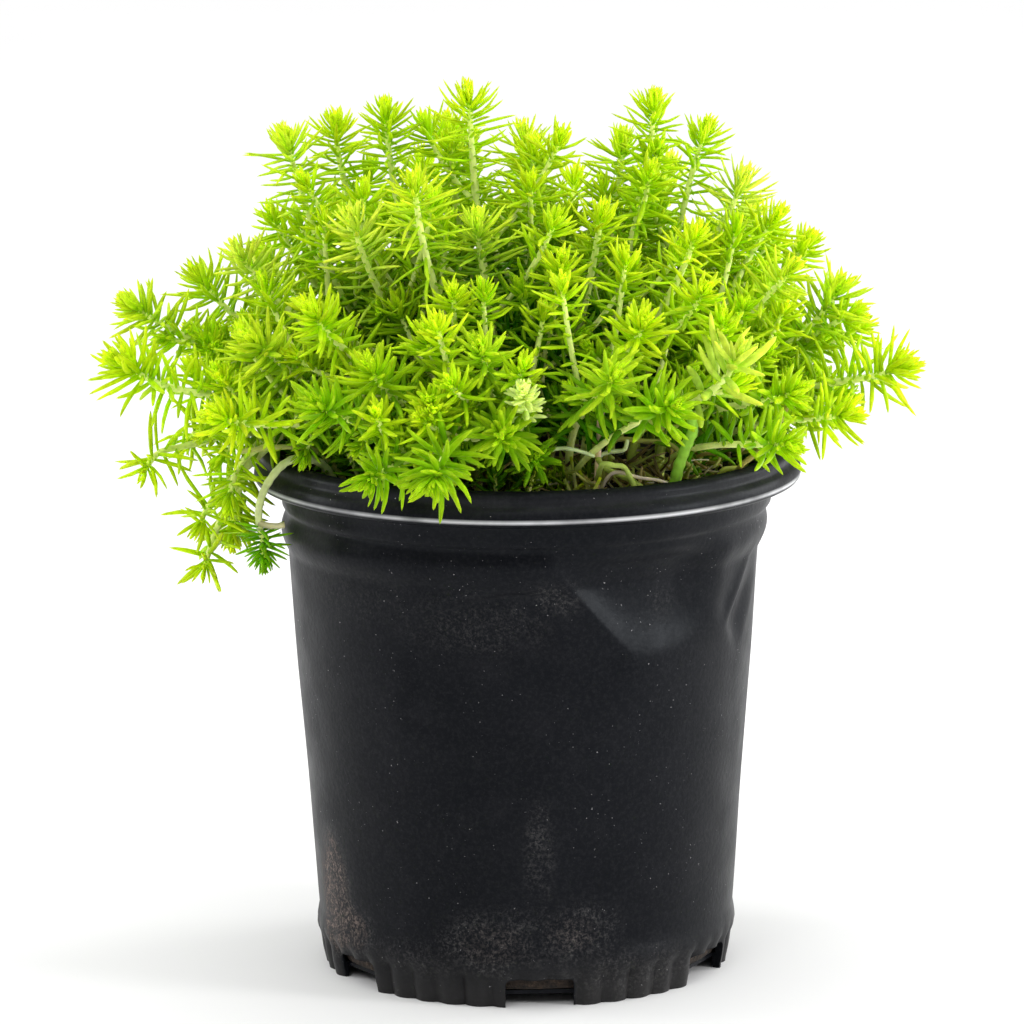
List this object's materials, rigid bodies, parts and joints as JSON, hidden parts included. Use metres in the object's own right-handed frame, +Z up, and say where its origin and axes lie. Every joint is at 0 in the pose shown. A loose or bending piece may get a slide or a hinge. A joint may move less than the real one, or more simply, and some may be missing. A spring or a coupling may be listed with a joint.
{
  "type": "potted sedum",
  "caption": "Thin black nursery pot with a rolled lip and notched foot, filled with soil and a mound of needle-leaved yellow-green stonecrop stems.",
  "frame": {"origin": "on the ground under the middle of the pot's foot, within a few millimetres of the middle of the plant's spread", "axes": "+Z up out of the pot, -Y towards the front that the picture shows, +X to the right of the picture"},
  "size_m": [0.2482, 0.2229, 0.2715],
  "materials": {
    "black_plastic": "matt",
    "potting_mix": "crumbly",
    "sedum_leaf": "waxy"
  },
  "bodies": {
    "root": {"nursery_pot": "black_plastic", "potting_soil": "potting_mix", "leafy_stem_01": "sedum_leaf", "leafy_stem_02": "sedum_leaf", "leafy_stem_03": "sedum_leaf", "leafy_stem_04": "sedum_leaf", "leafy_stem_05": "sedum_leaf", "leafy_stem_06": "sedum_leaf", "leafy_stem_07": "sedum_leaf", "leafy_stem_08": "sedum_leaf", "leafy_stem_09": "sedum_leaf", "leafy_stem_10": "sedum_leaf", "leafy_stem_11": "sedum_leaf", "leafy_stem_12": "sedum_leaf", "leafy_stem_13": "sedum_leaf", "leafy_stem_14": "sedum_leaf", "leafy_stem_15": "sedum_leaf", "leafy_stem_16": "sedum_leaf", "leafy_stem_17": "sedum_leaf", "leafy_stem_18": "sedum_leaf", "leafy_stem_19": "sedum_leaf", "leafy_stem_20": "sedum_leaf", "leafy_stem_21": "sedum_leaf", "leafy_stem_22": "sedum_leaf", "leafy_stem_23": "sedum_leaf", "leafy_stem_24": "sedum_leaf", "leafy_stem_25": "sedum_leaf", "leafy_stem_26": "sedum_leaf", "leafy_stem_27": "sedum_leaf", "leafy_stem_28": "sedum_leaf", "leafy_stem_29": "sedum_leaf", "leafy_stem_30": "sedum_leaf", "leafy_stem_31": "sedum_leaf", "leafy_stem_32": "sedum_leaf", "leafy_stem_33": "sedum_leaf", "leafy_stem_34": "sedum_leaf", "leafy_stem_35": "sedum_leaf", "leafy_stem_36": "sedum_leaf", "leafy_stem_37": "sedum_leaf", "leafy_stem_38": "sedum_leaf", "leafy_stem_39": "sedum_leaf", "leafy_stem_40": "sedum_leaf", "leafy_stem_41": "sedum_leaf", "leafy_stem_42": "sedum_leaf", "leafy_stem_43": "sedum_leaf", "leafy_stem_44": "sedum_leaf", "leafy_stem_45": "sedum_leaf", "leafy_stem_46": "sedum_leaf", "leafy_stem_47": "sedum_leaf", "leafy_stem_48": "sedum_leaf", "leafy_stem_49": "sedum_leaf", "leafy_stem_50": "sedum_leaf", "leafy_stem_51": "sedum_leaf", "leafy_stem_52": "sedum_leaf", "leafy_stem_53": "sedum_leaf"}
  },
  "joints": []
}
